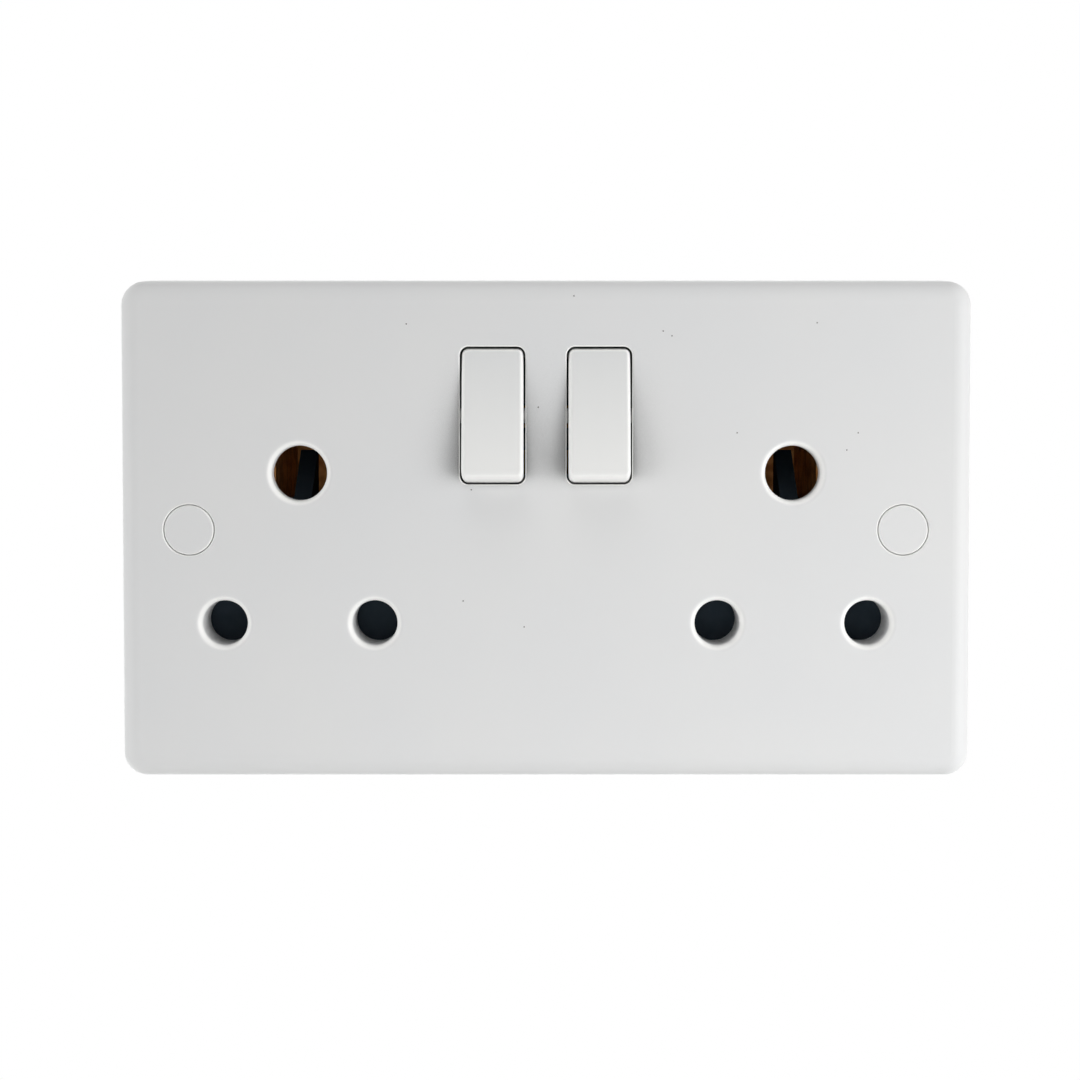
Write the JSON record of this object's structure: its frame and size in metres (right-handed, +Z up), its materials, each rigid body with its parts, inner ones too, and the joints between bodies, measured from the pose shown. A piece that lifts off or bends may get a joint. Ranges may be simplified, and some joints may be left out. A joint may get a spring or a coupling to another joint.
{
  "type": "switched double socket",
  "caption": "Two-gang wall socket with two rocker switches, shuttered round-pin outlets and screw terminals behind.",
  "frame": {"origin": "centre of the plate, on the plane of the wall's surface", "axes": "+X right as seen from the room, +Z up, +Y into the wall; the face looks along -Y"},
  "size_m": [0.1456, 0.0355, 0.0856],
  "materials": {
    "face_moulding": "moulded, semi gloss",
    "switch_moulding": "moulded, semi gloss",
    "cap_moulding": "moulded, semi gloss",
    "base_moulding": "moulded, satin",
    "shutter_moulding": "moulded, satin",
    "plunger_moulding": "moulded, satin",
    "brass": "stamped",
    "silver": "rivet face",
    "plated_steel": "zinc plated",
    "spring_steel": "drawn wire"
  },
  "bodies": {
    "housing": {"front_plate": "face_moulding", "rear_moulding": "base_moulding", "tray_screws": "plated_steel", "live_bar": "brass", "neutral_bar": "brass", "earth_bar": "brass", "fixed_tip_left": "silver", "live_contact_left": "brass", "neutral_contact_left": "brass", "earth_contact_left": "brass", "shutter_spring_left": "spring_steel", "fixed_tip_right": "silver", "live_contact_right": "brass", "neutral_contact_right": "brass", "earth_contact_right": "brass", "shutter_spring_right": "spring_steel", "live_terminal": "brass", "earth_terminal": "brass", "neutral_terminal": "brass"},
    "rocker_left": {"rocker_left": "switch_moulding", "plunger_spring_left": "spring_steel"},
    "plunger_left": {"plunger_left": "plunger_moulding"},
    "moving_contact_left": {"moving_contact_left": "brass", "moving_tip_left": "silver"},
    "shutter_left": {"shutter_left": "shutter_moulding"},
    "screw_cap_left": {"screw_cap_left": "cap_moulding"},
    "rocker_right": {"rocker_right": "switch_moulding", "plunger_spring_right": "spring_steel"},
    "plunger_right": {"plunger_right": "plunger_moulding"},
    "moving_contact_right": {"moving_contact_right": "brass", "moving_tip_right": "silver"},
    "shutter_right": {"shutter_right": "shutter_moulding"},
    "screw_cap_right": {"screw_cap_right": "cap_moulding"},
    "live_clamp_screw": {"live_clamp_screw": "plated_steel"},
    "earth_clamp_screw": {"earth_clamp_screw": "plated_steel"},
    "neutral_clamp_screw": {"neutral_clamp_screw": "plated_steel"}
  },
  "joints": [
    {"name": "rocker_left_pivot", "type": "hinge", "parent": "housing", "child": "rocker_left", "pos_m": [-0.009, -0.0065, 0.0193], "axis": [1, 0, 0], "range_deg": [0, 16]},
    {"name": "plunger_left_slide", "type": "slide", "parent": "rocker_left", "child": "plunger_left", "axis": [0, -0.9903, 0.1392], "range_m": [0, 0.0006], "stiffness_N_per_m": 300, "springref_m": -0.004, "deforming": ["plunger_spring_left"]},
    {"name": "moving_contact_left_pivot", "type": "hinge", "parent": "housing", "child": "moving_contact_left", "pos_m": [-0.009, 0.0075, 0.0193], "axis": [1, 0, 0], "range_deg": [-12.8, 0]},
    {"name": "shutter_left_slide", "type": "slide", "parent": "housing", "child": "shutter_left", "axis": [0, 0, -1], "range_m": [0, 0.0082], "stiffness_N_per_m": 60, "springref_m": -0.006, "deforming": ["shutter_spring_left"]},
    {"name": "screw_cap_left_pull", "type": "slide", "parent": "housing", "child": "screw_cap_left", "axis": [0, -1, 0], "range_m": [0, 0.012]},
    {"name": "rocker_right_pivot", "type": "hinge", "parent": "housing", "child": "rocker_right", "pos_m": [0.009, -0.0065, 0.0193], "axis": [1, 0, 0], "range_deg": [0, 16]},
    {"name": "plunger_right_slide", "type": "slide", "parent": "rocker_right", "child": "plunger_right", "axis": [0, -0.9903, 0.1392], "range_m": [0, 0.0006], "stiffness_N_per_m": 300, "springref_m": -0.004, "deforming": ["plunger_spring_right"]},
    {"name": "moving_contact_right_pivot", "type": "hinge", "parent": "housing", "child": "moving_contact_right", "pos_m": [0.009, 0.0075, 0.0193], "axis": [1, 0, 0], "range_deg": [-12.8, 0]},
    {"name": "shutter_right_slide", "type": "slide", "parent": "housing", "child": "shutter_right", "axis": [0, 0, -1], "range_m": [0, 0.0082], "stiffness_N_per_m": 60, "springref_m": -0.006, "deforming": ["shutter_spring_right"]},
    {"name": "screw_cap_right_pull", "type": "slide", "parent": "housing", "child": "screw_cap_right", "axis": [0, -1, 0], "range_m": [0, 0.012]},
    {"name": "live_clamp_screw_travel", "type": "slide", "parent": "housing", "child": "live_clamp_screw", "axis": [0, -1, 0], "range_m": [0, 0.004]},
    {"name": "earth_clamp_screw_travel", "type": "slide", "parent": "housing", "child": "earth_clamp_screw", "axis": [0, -1, 0], "range_m": [0, 0.004]},
    {"name": "neutral_clamp_screw_travel", "type": "slide", "parent": "housing", "child": "neutral_clamp_screw", "axis": [0, -1, 0], "range_m": [0, 0.004]}
  ],
  "couplings": [
    {"joint": "moving_contact_left_pivot", "follows": "rocker_left_pivot", "ratio": -0.8},
    {"joint": "moving_contact_right_pivot", "follows": "rocker_right_pivot", "ratio": -0.8}
  ]
}
